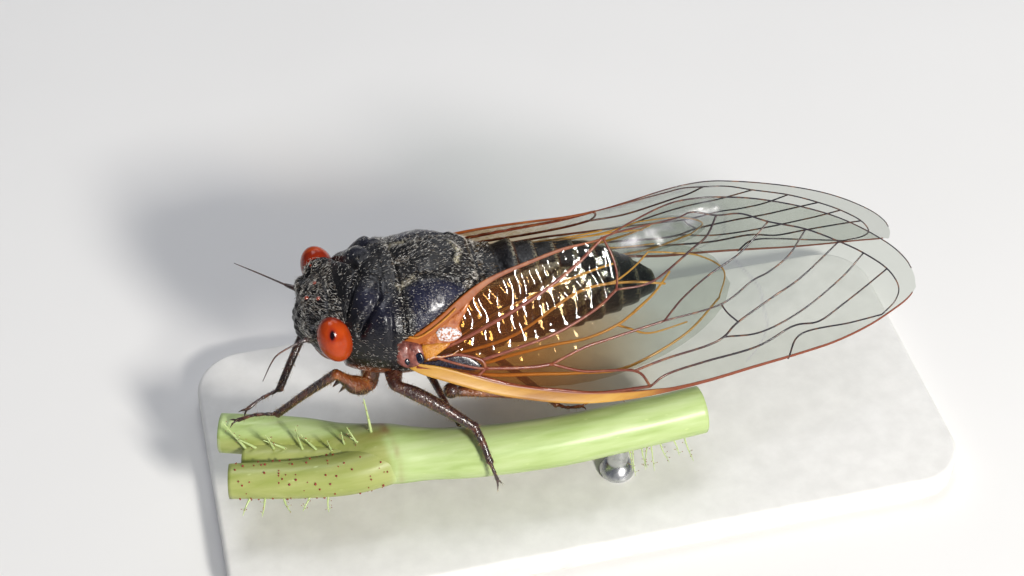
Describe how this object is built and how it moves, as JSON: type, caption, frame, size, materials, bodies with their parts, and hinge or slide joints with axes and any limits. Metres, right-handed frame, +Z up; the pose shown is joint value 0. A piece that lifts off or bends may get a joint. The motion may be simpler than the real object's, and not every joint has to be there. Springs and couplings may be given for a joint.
{
  "type": "periodical cicada model on a cut cane and stand",
  "caption": "Still life-size periodical cicada with folded glassy wings, gripping a short cut green cane held by a plain flat stand.",
  "frame": {"origin": "middle of the underside of the stand's base, on the surface it stands on", "axes": "+Z up; +X along the insect from its head towards its wing tips; -Y the side of the insect's left wing, where the cane runs"},
  "size_m": [0.044, 0.02, 0.0172],
  "materials": {
    "black_cuticle": "black pitted cuticle with a blue sheen and short pale hairs",
    "eye": "glossy orange-red compound eye",
    "underside": "orange-brown cuticle, satin",
    "abdomen": "dark brown rings with pale gold hair bands",
    "wing": "clear membrane, orange veins towards the base and dark veins towards the tip",
    "leg": "dark red-brown, glossy",
    "fore_femur": "orange, glossy, dark teeth",
    "cane": "pale green ribbed stem, reddish at its node",
    "stand_base": "plain off-white, satin",
    "stand_rod": "plain thin steel rod"
  },
  "bodies": {
    "root": {"head": "black_cuticle", "eye_left": "eye", "eye_right": "eye", "clypeus": "black_cuticle", "rostrum": "underside", "antenna_left": "leg", "antenna_right": "leg", "pronotum": "black_cuticle", "mesonotum": "black_cuticle", "metanotum": "black_cuticle", "thorax": "underside", "abdomen": "abdomen", "forewing_left": "wing", "forewing_right": "wing", "hindwing_left": "wing", "hindwing_right": "wing", "femur_fore_left": "fore_femur", "femur_fore_right": "fore_femur", "femur_mid_left": "leg", "femur_mid_right": "leg", "femur_hind_left": "leg", "femur_hind_right": "leg", "tibia_fore_left": "leg", "tibia_fore_right": "leg", "tibia_mid_left": "leg", "tibia_mid_right": "leg", "tibia_hind_left": "leg", "tibia_hind_right": "leg", "perch_cane": "cane", "stand_base": "stand_base", "stand_rod_front": "stand_rod", "stand_rod_back": "stand_rod"}
  },
  "joints": []
}
